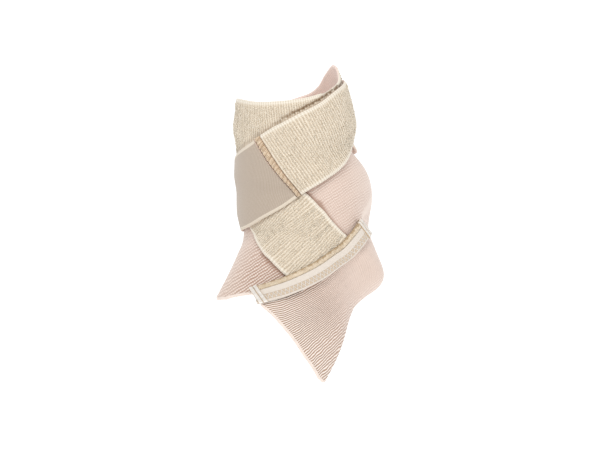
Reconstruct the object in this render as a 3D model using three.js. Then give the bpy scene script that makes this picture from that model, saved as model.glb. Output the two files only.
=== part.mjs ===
// A wrap-around elastic ankle brace, held in the shape that it has on a foot.
//
// A ribbed knit sleeve with an open heel is closed by one lapped seam over the instep. A long
// elastic strap starts under that seam, winds two and a half turns round the ankle and the lower
// leg with its loop pile outward, and ends in a smooth hook tab that is pressed onto the pile.
//
// Millimetres. +Z points up the leg and -Y to the toes. +X is the outer side of the foot.
// The origin is the centre of the ankle, in the hollow.

import * as THREE from "three";
import { mergeVertices } from "three/addons/utils/BufferGeometryUtils.js";

// Driving sizes of the foot form
const LEG_RISE = 90;
const FOOT_REACH = 100;
const ANKLE_RADIUS = 36;
const FOOT_PITCH_DEG = 41;
const FOOT_ROLL_DEG = 30;

// Fabric and trim sizes
const SLEEVE_WALL = 1.5;
const STRAP_WIDTH = 49;
const STRAP_WALL = 1.8;
const TAB_WALL = 1.3;
const TAB_LENGTH = 88;
const BEAD_LENGTH = 3.6;
const BEAD_RISE = 0.9;
const TAPE_WIDTH = 9.5;
const TAPE_WALL = 1.1;
const SEAM_EDGE_WIDTH = 3.4;
const BAR_LENGTH = 5;
const BAR_WIDTH = 14;
const BAR_WALL = 1;

// Clearances between layers that lie on each other, and between pieces side by side
const LAYER_GAP = 0.6;
const SIDE_GAP = 0.4;

// How far past the edge of a lower layer an upper one keeps clear, and eases down after that
const EDGE_MARGIN = 1.5;
const EDGE_EASE = 15;

// Sections down the leg. Centre: side, back and up as shares of LEG_RISE. bend is the share of
// the way from the leg's direction to the foot's. The radii are shares of ANKLE_RADIUS.
const LEG_SECTIONS = [
  { side: -0.055, back: -0.112, up: 1.05, bend: 0, roll: 0, outer: 0.83, inner: 0.83, front: 0.87, rear: 0.87 },
  { side: -0.033, back: -0.049, up: 0.62, bend: 0, roll: 0, outer: 0.98, inner: 0.94, front: 1.0, rear: 1.02 },
  { side: -0.016, back: -0.016, up: 0.38, bend: 0, roll: 0, outer: 0.91, inner: 0.94, front: 1.0, rear: 1.0 },
  { side: 0, back: 0.03, up: 0.02, bend: 0.22, roll: 0.15, outer: 1.18, inner: 1.09, front: 1.04, rear: 1.8 },
];

// Sections along the foot. Centre: reach along the foot and drop towards the sole, as shares of
// FOOT_REACH. roll is a share of FOOT_ROLL_DEG. crease pinches the two sides to an edge.
const FOOT_SECTIONS = [
  { reach: 0.21, drop: 0.3, bend: 0.63, roll: 0.74, outer: 1.44, inner: 1.12, front: 1.27, rear: 1.4, crease: 0 },
  { reach: 0.42, drop: 0.41, bend: 0.9, roll: 0.9, outer: 1.13, inner: 1.22, front: 1.4, rear: 0.85, crease: 0.2 },
  { reach: 0.76, drop: 0.42, bend: 1, roll: 1, outer: 1.25, inner: 1.22, front: 1.05, rear: 0.6, crease: 0.5 },
  { reach: 1.12, drop: 0.42, bend: 1, roll: 1, outer: 1.26, inner: 1.2, front: 0.8, rear: 0.4, crease: 0.8 },
];

// Bulges and hollows of the heel, the ankle bone and the waist between them. rise is a share of
// ANKLE_RADIUS, and the reach of each is in levels down the brace and degrees round it.
const BULGES = [
  { level: 2.45, angle: 134, rise: 0.1, levels: 0.25, degrees: 35 },
  { level: 3.36, angle: 115, rise: -0.14, levels: 0.25, degrees: 35 },
  { level: 4.08, angle: 98, rise: 0.12, levels: 0.16, degrees: 35 },
];

// Level of the sleeve's front hem at each angle round it
const HEM = [
  { angle: -90, level: 5.95 },
  { angle: -75, level: 6.12 },
  { angle: -57, level: 6.2 },
  { angle: -39, level: 6.17 },
  { angle: -25, level: 6.13 },
  { angle: -13, level: 6.36 },
  { angle: 0, level: 6.47 },
  { angle: 11, level: 6.57 },
  { angle: 38, level: 6.76 },
  { angle: 66, level: 6.83 },
  { angle: 80, level: 6.8 },
  { angle: 92, level: 6.7 },
  { angle: 120, level: 6.44 },
  { angle: 150, level: 5.9 },
  { angle: 180, level: 5.36 },
  { angle: 210, level: 4.92 },
  { angle: 222, level: 4.95 },
  { angle: 243, level: 5.52 },
  { angle: 270, level: 5.95 },
];
const SLEEVE_TOP_LEVEL = 1.8;

// The oval heel opening: levels of its top and bottom, and half its spread round the back
const HEEL_TOP_LEVEL = 3.05;
const HEEL_BOTTOM_LEVEL = 4.35;
const HEEL_HALF_SPREAD_DEG = 36;

// The strap's centre line. turn counts degrees round the leg, falling as the strap runs on.
// flare is extra width at the upper edge, as a share of STRAP_WIDTH, and less width if negative.
const STRAP_PATH = [
  { turn: 27, level: 5.05, flare: 0 },
  { turn: 20.2, level: 5.03, flare: 0 },
  { turn: 12, level: 4.95, flare: 0 },
  { turn: 4.1, level: 4.82, flare: 0 },
  { turn: -2.6, level: 4.56, flare: 0 },
  { turn: -6.2, level: 4.1, flare: 0 },
  { turn: -8.2, level: 3.8, flare: 0 },
  { turn: -10.8, level: 3.58, flare: 0 },
  { turn: -15, level: 3.36, flare: 0 },
  { turn: -21.5, level: 3.14, flare: 0 },
  { turn: -30.2, level: 2.92, flare: 0 },
  { turn: -41.5, level: 2.73, flare: 0 },
  { turn: -57, level: 2.5, flare: 0 },
  { turn: -75, level: 2.34, flare: 0 },
  { turn: -95, level: 2.18, flare: 0 },
  { turn: -120, level: 2.0, flare: 0 },
  { turn: -147, level: 1.82, flare: 0 },
  { turn: -175, level: 1.54, flare: 0.02 },
  { turn: -202, level: 1.14, flare: 0.09 },
  { turn: -226, level: 0.9, flare: 0.14 },
  { turn: -248, level: 0.9, flare: 0.03 },
  { turn: -270, level: 0.96, flare: -0.03 },
  { turn: -289, level: 1.1, flare: 0 },
  { turn: -322, level: 1.24, flare: 0 },
  { turn: -363, level: 1.35, flare: 0 },
  { turn: -392, level: 1.34, flare: 0 },
  { turn: -412, level: 1.4, flare: 0 },
  { turn: -435, level: 1.55, flare: 0 },
  { turn: -470, level: 1.8, flare: 0 },
  { turn: -510, level: 1.98, flare: 0 },
  { turn: -540, level: 1.72, flare: 0 },
  { turn: -567, level: 1.24, flare: 0 },
  { turn: -591, level: 0.94, flare: -0.05 },
  { turn: -614, level: 0.92, flare: -0.06 },
  { turn: -635, level: 1.06, flare: -0.03 },
  { turn: -662, level: 1.45, flare: 0 },
  { turn: -684, level: 1.87, flare: 0 },
  { turn: -708.5, level: 2.23, flare: 0 },
  { turn: -726, level: 2.52, flare: 0 },
  { turn: -746, level: 2.82, flare: 0 },
  { turn: -763, level: 3.02, flare: 0 },
  { turn: -783, level: 3.09, flare: 0 },
  { turn: -815, level: 3.07, flare: 0 },
  { turn: -850, level: 3.02, flare: 0 },
];
const STRAP_END_TURN = -703.5;

// The tape's centre line along the seam, from the side to the front hem
const SEAM_PATH = [
  { turn: 75, level: 3.5, flare: 0 },
  { turn: 64, level: 3.64, flare: 0 },
  { turn: 51, level: 3.87, flare: 0 },
  { turn: 42, level: 4.2, flare: 0 },
  { turn: 36.6, level: 4.65, flare: 0 },
  { turn: 29.6, level: 5.12, flare: 0 },
  { turn: 19.2, level: 5.49, flare: 0 },
  { turn: 9.3, level: 5.76, flare: 0 },
  { turn: -2.7, level: 6.05, flare: 0 },
  { turn: -11.3, level: 6.19, flare: 0 },
  { turn: -21, level: 6.25, flare: 0 },
];

const RADIANS = Math.PI / 180;
const FULL_TURN = 360;
const X_AXIS = new THREE.Vector3(1, 0, 0);
const HALF_STRAP = STRAP_WIDTH / 2;

// Direction of travel down the brace, and the way its front faces, at a given bend.
function axesAt(bend) {
  const pitch = (90 - bend * (90 - FOOT_PITCH_DEG)) * RADIANS;
  const along = new THREE.Vector3(0, -Math.cos(pitch), -Math.sin(pitch));
  const facing = new THREE.Vector3(0, -Math.sin(pitch), Math.cos(pitch));
  return { along, facing };
}

function legSection(row) {
  const centre = new THREE.Vector3(row.side, row.back, row.up).multiplyScalar(LEG_RISE);
  return { ...row, crease: 0, centre };
}

function footSection(row) {
  const { along, facing } = axesAt(1);
  const centre = along.clone().multiplyScalar(row.reach).addScaledVector(facing, -row.drop);
  return { ...row, centre: centre.multiplyScalar(FOOT_REACH) };
}

const SECTIONS = [...LEG_SECTIONS.map(legSection), ...FOOT_SECTIONS.map(footSection)];
const LAST_SECTION = SECTIONS.length - 1;

// Catmull-Rom between b and c.
function blendFour(a, b, c, d, t) {
  const cubic = -a + 3 * b - 3 * c + d;
  const square = 2 * a - 5 * b + 4 * c - d;
  return 0.5 * (2 * b + (c - a) * t + square * t * t + cubic * t * t * t);
}

// A value read from a list of rows at a fractional place in it.
function alongRows(rows, place, read) {
  const last = rows.length - 1;
  const clamped = Math.min(Math.max(place, 0), last - 1e-9);
  const i = Math.floor(clamped);
  const at = (k) => {
    if (k < 0) return 2 * read(rows[0]) - read(rows[1]);
    if (k > last) return 2 * read(rows[last]) - read(rows[last - 1]);
    return read(rows[k]);
  };
  return blendFour(at(i - 1), at(i), at(i + 1), at(i + 2), clamped - i);
}

// How near a place is to the middle of a bulge, from 1 there to 0 far away.
function nearBulge(row, level, angleDeg) {
  const away = (level - row.level) / row.levels;
  const turned = (Math.cos((angleDeg - row.angle) * RADIANS) - 1) / (row.degrees * RADIANS) ** 2;
  return Math.exp(turned - (away * away) / 2);
}

// Point of the foot form at a level down the brace and an angle round it, 0 in front and 90 outside.
function formPoint(level, angleDeg) {
  const { facing } = axesAt(alongRows(SECTIONS, level, (row) => row.bend));
  const roll = alongRows(SECTIONS, level, (row) => row.roll) * FOOT_ROLL_DEG * RADIANS;
  const crease = alongRows(SECTIONS, level, (row) => row.crease);
  const side = X_AXIS.clone().multiplyScalar(Math.cos(roll)).addScaledVector(facing, -Math.sin(roll));
  const front = facing.clone().multiplyScalar(Math.cos(roll)).addScaledVector(X_AXIS, Math.sin(roll));
  const sine = Math.sin(angleDeg * RADIANS);
  const cosine = Math.cos(angleDeg * RADIANS);
  const halfWidth = alongRows(SECTIONS, level, (row) => (sine > 0 ? row.outer : row.inner));
  const halfDepth = alongRows(SECTIONS, level, (row) => (cosine > 0 ? row.front : row.rear));
  const swell = BULGES.reduce((sum, row) => sum + row.rise * nearBulge(row, level, angleDeg), 0);
  const pinch = 1 - crease * (1 - Math.abs(cosine));
  return new THREE.Vector3(
    alongRows(SECTIONS, level, (row) => row.centre.x),
    alongRows(SECTIONS, level, (row) => row.centre.y),
    alongRows(SECTIONS, level, (row) => row.centre.z),
  )
    .addScaledVector(side, ANKLE_RADIUS * (halfWidth + swell) * sine)
    .addScaledVector(front, ANKLE_RADIUS * (halfDepth * pinch + swell) * cosine);
}

const STEP_LEVEL = 0.01;
const STEP_DEG = 0.5;

// Change of a point on the form for one level and for one degree.
function formSlopes(level, angleDeg) {
  const down = formPoint(level + STEP_LEVEL, angleDeg)
    .sub(formPoint(level - STEP_LEVEL, angleDeg))
    .divideScalar(2 * STEP_LEVEL);
  const round = formPoint(level, angleDeg + STEP_DEG)
    .sub(formPoint(level, angleDeg - STEP_DEG))
    .divideScalar(2 * STEP_DEG);
  return { down, round };
}

// Outward normal of the form.
function formNormal(level, angleDeg) {
  const { down, round } = formSlopes(level, angleDeg);
  return down.cross(round).normalize();
}

function raised(place, height) {
  return formPoint(place.level, place.angle).addScaledVector(formNormal(place.level, place.angle), height);
}

// A closed body from two grids of points, outer and inner, each cell cut along its shorter diagonal. The two
// ends of a row are joined where joined(i) is true, and closed by a wall elsewhere.
function shellBody(outer, inner, joined) {
  const rows = outer.length;
  const last = outer[0].length - 1;
  const corners = [];
  const quad = (a, b, c, d) => corners.push(a, b, c, a, c, d);
  for (let i = 0; i < rows - 1; i++) {
    for (let j = 0; j < last; j++) {
      const [a, b, c, d] = [outer[i][j], outer[i + 1][j], outer[i + 1][j + 1], outer[i][j + 1]];
      const [e, f, g, h] = [inner[i][j], inner[i + 1][j], inner[i + 1][j + 1], inner[i][j + 1]];
      if (a.distanceTo(c) < b.distanceTo(d)) {
        quad(a, b, c, d);
        quad(e, h, g, f);
      } else {
        quad(b, c, d, a);
        quad(h, g, f, e);
      }
    }
    if (joined(i) && joined(i + 1)) continue;
    quad(outer[i][0], inner[i][0], inner[i + 1][0], outer[i + 1][0]);
    quad(outer[i][last], outer[i + 1][last], inner[i + 1][last], inner[i][last]);
  }
  for (let j = 0; j < last; j++) {
    quad(outer[0][j], outer[0][j + 1], inner[0][j + 1], inner[0][j]);
    quad(outer[rows - 1][j], inner[rows - 1][j], inner[rows - 1][j + 1], outer[rows - 1][j + 1]);
  }
  const solid = [];
  for (let k = 0; k < corners.length; k += 3) {
    const [a, b, c] = [corners[k], corners[k + 1], corners[k + 2]];
    const flat = a.distanceTo(b) < 2e-3 || b.distanceTo(c) < 2e-3 || c.distanceTo(a) < 2e-3;
    if (!flat) solid.push(a, b, c);
  }
  const positions = new Float32Array(solid.flatMap((p) => [p.x, p.y, p.z]));
  const geometry = new THREE.BufferGeometry();
  geometry.setAttribute("position", new THREE.BufferAttribute(positions, 3));
  return mergeVertices(geometry, 1e-3);
}

// The sleeve

const SLEEVE_ROWS = 30;
const SLEEVE_COLUMNS = 40;

function hemLevel(angleDeg) {
  const angle = ((((angleDeg + 90) % FULL_TURN) + FULL_TURN) % FULL_TURN) - 90;
  const next = HEM.findIndex((row) => row.angle >= angle);
  const place = next < 1 ? 0 : next - 1 + (angle - HEM[next - 1].angle) / (HEM[next].angle - HEM[next - 1].angle);
  const low = Math.floor(place);
  const high = Math.min(low + 1, HEM.length - 1);
  return HEM[low].level + (HEM[high].level - HEM[low].level) * (place - low);
}

function heelHalfSpread(level) {
  const middle = (HEEL_TOP_LEVEL + HEEL_BOTTOM_LEVEL) / 2;
  const half = (HEEL_BOTTOM_LEVEL - HEEL_TOP_LEVEL) / 2;
  const share = (level - middle) / half;
  return Math.abs(share) < 1 ? HEEL_HALF_SPREAD_DEG * Math.sqrt(1 - share * share) : 0;
}

function sleeveGeometry() {
  const outer = [];
  const inner = [];
  const spread = [];
  for (let i = 0; i <= SLEEVE_ROWS; i++) {
    const down = i / SLEEVE_ROWS;
    const backLevel = SLEEVE_TOP_LEVEL + (hemLevel(180) - SLEEVE_TOP_LEVEL) * down;
    spread.push(heelHalfSpread(backLevel));
    const places = [];
    for (let j = 0; j <= SLEEVE_COLUMNS; j++) {
      const angle = ((2 * j) / SLEEVE_COLUMNS - 1) * (FULL_TURN / 2 - spread[i]);
      places.push({ angle, level: SLEEVE_TOP_LEVEL + (hemLevel(angle) - SLEEVE_TOP_LEVEL) * down });
    }
    outer.push(places.map((place) => raised(place, SLEEVE_WALL)));
    inner.push(places.map((place) => raised(place, 0)));
  }
  return shellBody(outer, inner, (i) => spread[i] === 0);
}

// Bands: strips of fabric laid on the form along a centre line

const PATH_SAMPLES_PER_ROW = 24;

// Stations at an even spacing along a path, each with its place on the form and its directions.
function stationsOf(path, spacing) {
  const fine = [];
  for (let k = 0; k <= (path.length - 1) * PATH_SAMPLES_PER_ROW; k++) {
    const place = k / PATH_SAMPLES_PER_ROW;
    const turn = alongRows(path, place, (row) => row.turn);
    const level = alongRows(path, place, (row) => row.level);
    const flare = alongRows(path, place, (row) => row.flare);
    fine.push({ turn, level, flare, point: formPoint(level, turn), run: 0 });
  }
  for (let k = 1; k < fine.length; k++) {
    fine[k].run = fine[k - 1].run + fine[k].point.distanceTo(fine[k - 1].point);
  }
  const length = fine[fine.length - 1].run;
  const count = Math.round(length / spacing);
  const at = (run) => {
    const k = Math.min(Math.max(fine.findIndex((sample) => sample.run >= run), 1), fine.length - 1);
    const [a, b] = [fine[k - 1], fine[k]];
    const share = (run - a.run) / (b.run - a.run);
    const mix = (key) => a[key] + (b[key] - a[key]) * share;
    const along = b.point.clone().sub(a.point).normalize();
    const normal = formNormal(mix("level"), mix("turn"));
    const across = along.clone().cross(normal).normalize();
    return { run, turn: mix("turn"), level: mix("level"), flare: mix("flare"), along, across, point: a.point.clone().lerp(b.point, share) };
  };
  return { length, count, at };
}

const WALK_STEP = 1.6;

// Walks over the form at a height, from a station to the side, and returns the place reached.
function walkAcross(station, distance, height) {
  const steps = Math.max(1, Math.ceil(Math.abs(distance) / WALK_STEP));
  const length = distance / steps;
  const heading = station.across.clone();
  let level = station.level;
  let angle = station.turn;
  for (let k = 0; k < steps; k++) {
    const at = (dLevel, dAngle) => raised({ level: level + dLevel, angle: angle + dAngle }, height);
    const down = at(STEP_LEVEL, 0).sub(at(-STEP_LEVEL, 0)).divideScalar(2 * STEP_LEVEL);
    const round = at(0, STEP_DEG).sub(at(0, -STEP_DEG)).divideScalar(2 * STEP_DEG);
    const [dd, dr, rr] = [down.dot(down), down.dot(round), round.dot(round)];
    const [dh, rh] = [down.dot(heading), round.dot(heading)];
    const area = dd * rr - dr * dr;
    level += (length * (dh * rr - rh * dr)) / area;
    angle += (length * (rh * dd - dh * dr)) / area;
    const normal = formNormal(level, angle);
    heading.addScaledVector(normal, -heading.dot(normal)).normalize();
  }
  return { level, angle };
}

function smoothStep(from, to, value) {
  const share = Math.min(1, Math.max(0, (value - from) / (to - from)));
  return share * share * (3 - 2 * share);
}

// How much of a layer made of the given stations lies under a point of the form: 1 on it, 0 clear of it.
function coverUnder(point, stations, spacing) {
  if (stations.length === 0) return 0;
  let nearest = stations[0];
  for (const station of stations) {
    if (point.distanceToSquared(station.point) < point.distanceToSquared(nearest.point)) nearest = station;
  }
  const offset = point.clone().sub(nearest.point);
  const beyondEnd = Math.abs(offset.dot(nearest.along)) - spacing;
  const sideways = offset.dot(nearest.across);
  const beyondSide = Math.max(sideways - HALF_STRAP - nearest.flare * STRAP_WIDTH, -sideways - HALF_STRAP);
  return 1 - smoothStep(EDGE_MARGIN, EDGE_MARGIN + EDGE_EASE, Math.max(beyondEnd, beyondSide));
}

// Lengths of the cells along each band
const STRAP_SPACING = 5.4;
const SEAM_SPACING = 5;
const BEAD_SPACING = 1.8;
const BAR_SPACING = 2.5;
const STRAP_COLUMNS = 9;
const LAYER_WINDOW_DEG = 100;

const strapLine = stationsOf(STRAP_PATH, STRAP_SPACING);
const strapStations = [];
for (let k = 0; k <= strapLine.count; k++) strapStations.push(strapLine.at((strapLine.length * k) / strapLine.count));
const strapEndRun = strapStations.find((station) => station.turn <= STRAP_END_TURN).run;

// Height over the form at which a layer of the strap lies, above the sleeve and the turns below it.
function strapHeight(place, turn) {
  const point = formPoint(place.level, place.angle);
  let height = SLEEVE_WALL + LAYER_GAP;
  for (let lap = 1; lap <= 2; lap++) {
    const below = turn + lap * FULL_TURN;
    const near = strapStations.filter((station) => Math.abs(station.turn - below) < LAYER_WINDOW_DEG);
    height += (STRAP_WALL + LAYER_GAP) * coverUnder(point, near, STRAP_SPACING);
  }
  return height;
}

// A strip between two runs of a line and two distances to the side of it.
function stripGeometry(line, fromRun, toRun, spacing, low, high, columns, heightAt, wallAt) {
  const rows = Math.max(1, Math.round((toRun - fromRun) / spacing));
  const outer = [];
  const inner = [];
  for (let i = 0; i <= rows; i++) {
    const station = line.at(fromRun + ((toRun - fromRun) * i) / rows);
    const outerRow = [];
    const innerRow = [];
    const top = high + station.flare * STRAP_WIDTH;
    const middle = heightAt({ level: station.level, angle: station.turn }, station.turn);
    for (let j = 0; j <= columns; j++) {
      const place = walkAcross(station, top + ((low - top) * j) / columns, middle);
      const height = heightAt(place, station.turn);
      outerRow.push(raised(place, height + wallAt(i / rows, j / columns)));
      innerRow.push(raised(place, height));
    }
    outer.push(outerRow);
    inner.push(innerRow);
  }
  return shellBody(outer, inner, () => false);
}

const brace = new THREE.Group();

function addPiece(name, geometry, color, roughness) {
  const mesh = new THREE.Mesh(geometry, new THREE.MeshStandardMaterial({ color, roughness, metalness: 0 }));
  mesh.name = name;
  brace.add(mesh);
}

addPiece("foot_sleeve", sleeveGeometry(), 0xe2ccc2, 0.9);
addPiece(
  "wrap_strap",
  stripGeometry(strapLine, 0, strapEndRun, STRAP_SPACING, -HALF_STRAP, HALF_STRAP, STRAP_COLUMNS, strapHeight, () => STRAP_WALL),
  0xd8cdb8,
  0.95,
);
addPiece(
  "strap_end_bead",
  stripGeometry(strapLine, strapEndRun + SIDE_GAP, strapEndRun + SIDE_GAP + BEAD_LENGTH, BEAD_SPACING, -HALF_STRAP, HALF_STRAP, 12, strapHeight, () => STRAP_WALL + BEAD_RISE),
  0xccb496,
  0.9,
);
const tabStart = strapEndRun + BEAD_LENGTH + 2 * SIDE_GAP;
addPiece(
  "hook_tab",
  stripGeometry(strapLine, tabStart, tabStart + TAB_LENGTH, STRAP_SPACING, -HALF_STRAP, HALF_STRAP, STRAP_COLUMNS, strapHeight, () => TAB_WALL),
  0xc6b8a6,
  0.85,
);

const seamLine = stationsOf(SEAM_PATH, SEAM_SPACING);
const strapStart = strapStations.filter((station) => station.run < STRAP_WIDTH);
const seamHeight = (place) =>
  SLEEVE_WALL + LAYER_GAP + (STRAP_WALL + LAYER_GAP) * coverUnder(formPoint(place.level, place.angle), strapStart, STRAP_SPACING);
const halfTape = TAPE_WIDTH / 2;
const edgeLow = halfTape + SIDE_GAP;
const edgeHigh = edgeLow + SEAM_EDGE_WIDTH;
addPiece("seam_tape", stripGeometry(seamLine, 0, seamLine.length, SEAM_SPACING, -halfTape, halfTape, 3, seamHeight, () => TAPE_WALL), 0xe0d6ca, 0.8);
addPiece("seam_edge", stripGeometry(seamLine, 0, seamLine.length, SEAM_SPACING, edgeLow, edgeHigh, 2, seamHeight, () => TAPE_WALL), 0xd1b899, 0.9);
const barHeight = (place) => seamHeight(place) + TAPE_WALL + LAYER_GAP;
const barLow = (edgeHigh - halfTape - BAR_WIDTH) / 2;
addPiece("bar_tack_side", stripGeometry(seamLine, 0, BAR_LENGTH, BAR_SPACING, barLow, barLow + BAR_WIDTH, 4, barHeight, () => BAR_WALL), 0xe8e0d6, 0.8);
addPiece("bar_tack_front", stripGeometry(seamLine, seamLine.length - BAR_LENGTH, seamLine.length, BAR_SPACING, barLow, barLow + BAR_WIDTH, 4, barHeight, () => BAR_WALL), 0xe8e0d6, 0.8);

export default brace;
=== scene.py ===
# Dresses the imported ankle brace: ribbed knit sleeve, loop-pile strap, hook tab and sewn seam.

import math
from collections import namedtuple

import bpy
import numpy as np
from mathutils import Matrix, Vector


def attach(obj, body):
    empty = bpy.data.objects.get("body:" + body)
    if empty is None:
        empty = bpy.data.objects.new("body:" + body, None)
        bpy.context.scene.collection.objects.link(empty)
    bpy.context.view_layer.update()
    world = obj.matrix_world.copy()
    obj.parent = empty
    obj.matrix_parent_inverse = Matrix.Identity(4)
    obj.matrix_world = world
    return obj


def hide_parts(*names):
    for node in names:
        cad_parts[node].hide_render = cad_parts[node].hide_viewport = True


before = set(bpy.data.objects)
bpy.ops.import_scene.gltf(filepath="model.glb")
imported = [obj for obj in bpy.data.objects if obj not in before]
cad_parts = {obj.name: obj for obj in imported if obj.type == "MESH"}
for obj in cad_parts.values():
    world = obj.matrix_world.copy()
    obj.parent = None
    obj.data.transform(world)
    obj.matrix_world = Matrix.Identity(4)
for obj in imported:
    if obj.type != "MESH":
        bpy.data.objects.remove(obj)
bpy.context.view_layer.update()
scene = bpy.context.scene

# Lengths are in millimetres, as in the part's source, and become metres when a mesh is made.
MM = 0.001

# The foot form
LEG_RISE = 90.0
FOOT_REACH = 100.0
ANKLE_RADIUS = 36.0
FOOT_PITCH = 41.0
FOOT_ROLL = 30.0

# Fabric and trim
SLEEVE_WALL = 1.5
STRAP_WIDTH = 49.0
STRAP_WALL = 1.8
TAB_WALL = 1.3
TAB_LENGTH = 88.0
BEAD_LENGTH = 3.6
BEAD_RISE = 0.9
TAPE_WIDTH = 9.5
TAPE_WALL = 1.1
SEAM_EDGE_WIDTH = 3.4
BAR_LENGTH = 5.0
BAR_WIDTH = 14.0
BAR_WALL = 1.0
LAYER_GAP = 0.6
SIDE_GAP = 0.4
SELVEDGE = 2.5
EDGE_MARGIN = 1.5
EDGE_EASE = 15.0
SEAM_EASE = 32.0

# Sections down the leg: side, back and up as shares of LEG_RISE, then the form: bend and roll as shares,
# and the outer, inner, front and rear radii as shares of ANKLE_RADIUS
LEG_SECTIONS = [
    (-0.055, -0.112, 1.05, 0, 0, 0.83, 0.83, 0.87, 0.87),
    (-0.033, -0.049, 0.62, 0, 0, 0.98, 0.94, 1.0, 1.02),
    (-0.016, -0.016, 0.38, 0, 0, 0.91, 0.94, 1.0, 1.0),
    (0, 0.03, 0.02, 0.22, 0.15, 1.18, 1.09, 1.04, 1.8),
]
# Sections along the foot: reach and drop as shares of FOOT_REACH, the form, and the crease
FOOT_SECTIONS = [
    (0.21, 0.3, 0.63, 0.74, 1.44, 1.12, 1.27, 1.4, 0),
    (0.42, 0.41, 0.9, 0.9, 1.13, 1.22, 1.4, 0.85, 0.2),
    (0.76, 0.42, 1, 1, 1.25, 1.22, 1.05, 0.6, 0.5),
    (1.12, 0.42, 1, 1, 1.26, 1.2, 0.8, 0.4, 0.8),
]

# Bulges and hollows of the heel, the ankle bone and the waist between them
Bulge = namedtuple("Bulge", "level angle rise levels degrees")
BULGES = [
    Bulge(2.45, 134, 0.1, 0.25, 35),
    Bulge(3.36, 115, -0.14, 0.25, 35),
    Bulge(4.08, 98, 0.12, 0.16, 35),
]

# Level of the front hem at each angle round the foot
HEM = [
    (-90, 5.95), (-75, 6.12), (-57, 6.2), (-39, 6.17), (-25, 6.13), (-13, 6.36), (0, 6.47),
    (11, 6.57), (38, 6.76), (66, 6.83), (80, 6.8), (92, 6.7), (120, 6.44), (150, 5.9),
    (180, 5.36), (210, 4.92), (222, 4.95), (243, 5.52), (270, 5.95),
]
SLEEVE_TOP_LEVEL = 1.8
HEEL_TOP_LEVEL = 3.05
HEEL_BOTTOM_LEVEL = 4.35
HEEL_HALF_SPREAD = 36.0

# Centre line of the strap: turn round the leg, level, and width added above it as a share of STRAP_WIDTH
STRAP_PATH = [
    (27, 5.05, 0), (20.2, 5.03, 0), (12, 4.95, 0), (4.1, 4.82, 0), (-2.6, 4.56, 0), (-6.2, 4.1, 0),
    (-8.2, 3.8, 0), (-10.8, 3.58, 0), (-15, 3.36, 0), (-21.5, 3.14, 0), (-30.2, 2.92, 0),
    (-41.5, 2.73, 0), (-57, 2.5, 0), (-75, 2.34, 0), (-95, 2.18, 0), (-120, 2.0, 0),
    (-147, 1.82, 0), (-175, 1.54, 0.02), (-202, 1.14, 0.05), (-218, 0.95, 0.115), (-230, 0.88, 0.17),
    (-239, 0.88, 0.07), (-248, 0.9, 0.02), (-270, 0.96, -0.03), (-289, 1.1, 0), (-322, 1.24, 0),
    (-363, 1.35, 0), (-392, 1.34, 0),
    (-412, 1.4, 0), (-435, 1.55, -0.03), (-470, 1.8, -0.04), (-510, 1.98, 0), (-540, 1.6, -0.02),
    (-567, 1.0, -0.07), (-591, 0.87, -0.07), (-614, 0.91, -0.06), (-635, 1.06, -0.03),
    (-662, 1.45, 0), (-684, 1.87, 0), (-708.5, 2.23, 0), (-726, 2.52, 0), (-746, 2.82, 0),
    (-763, 3.02, 0), (-783, 3.09, 0), (-815, 3.07, 0), (-850, 3.02, 0),
]
STRAP_END_TURN = -703.5

# Centre line of the seam's tape, from the side to the front hem
SEAM_PATH = [
    (75, 3.5, 0), (66, 3.6, 0), (52, 3.81, 0), (42, 4.07, 0), (36, 4.46, 0), (30.5, 4.97, 0),
    (22.5, 5.3, 0), (14.5, 5.54, 0), (6.5, 5.76, 0), (-1.5, 5.96, 0), (-10.5, 6.12, 0), (-21, 6.26, 0),
]

# Pitches of the knit, the pile and the thread
SLEEVE_RIB = 1.4
CROSS_RIB = 1.6
FINE_KNIT = 1.2
STRAP_RIB = 1.62
LOOP_PITCH = 1.45
TAPE_WEAVE = 0.8
BEAD_THREAD = 0.62
SEAM_THREAD = 0.7

# The photograph's view
VIEW_AZIMUTH = 31.0
VIEW_ELEVATION = 8.0
MM_PER_PIXEL = 0.68
FRAME_PIXELS = (600, 450)
ORIGIN_PIXEL = (300, 200)
LENS = 400.0
SENSOR = 36.0

HALF_STRAP = STRAP_WIDTH / 2
HALF_TAPE = TAPE_WIDTH / 2
FULL_TURN = 360.0


# The form that the fabric lies on

def between_rows(values, place):
    """A Catmull-Rom curve through rows of values, read at fractional row numbers."""
    values = np.asarray(values, float)
    before = 2 * values[:1] - values[1:2]
    after = 2 * values[-1:] - values[-2:-1]
    rows = np.concatenate([before, values, after])
    place = np.clip(place, 0, len(values) - 1 - 1e-9)
    i = np.floor(place).astype(int)
    t = (place - i)[..., None]
    a, b, c, d = rows[i], rows[i + 1], rows[i + 2], rows[i + 3]
    square = 2 * a - 5 * b + 4 * c - d
    cubic = 3 * b - a - 3 * c + d
    return 0.5 * (2 * b + (c - a) * t + square * t**2 + cubic * t**3)


def section_rows():
    """One row for each section: centre, bend, roll, the four radii and the crease."""
    pitch = math.radians(FOOT_PITCH)
    along = np.array([0, -math.cos(pitch), -math.sin(pitch)])
    facing = np.array([0, -math.sin(pitch), math.cos(pitch)])
    rows = []
    for side, back, up, *form in LEG_SECTIONS:
        rows.append([*(LEG_RISE * np.array([side, back, up])), *form, 0])
    for reach, drop, *form in FOOT_SECTIONS:
        rows.append([*(FOOT_REACH * (reach * along - drop * facing)), *form])
    return np.array(rows)


SECTIONS = section_rows()


def bulge_rise(level, angle):
    rise = np.zeros(level.shape)
    for b in BULGES:
        away = (level - b.level) / b.levels
        turned = (np.cos(np.radians(angle - b.angle)) - 1) / math.radians(b.degrees) ** 2
        rise += b.rise * np.exp(turned - away * away / 2)
    return rise


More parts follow.
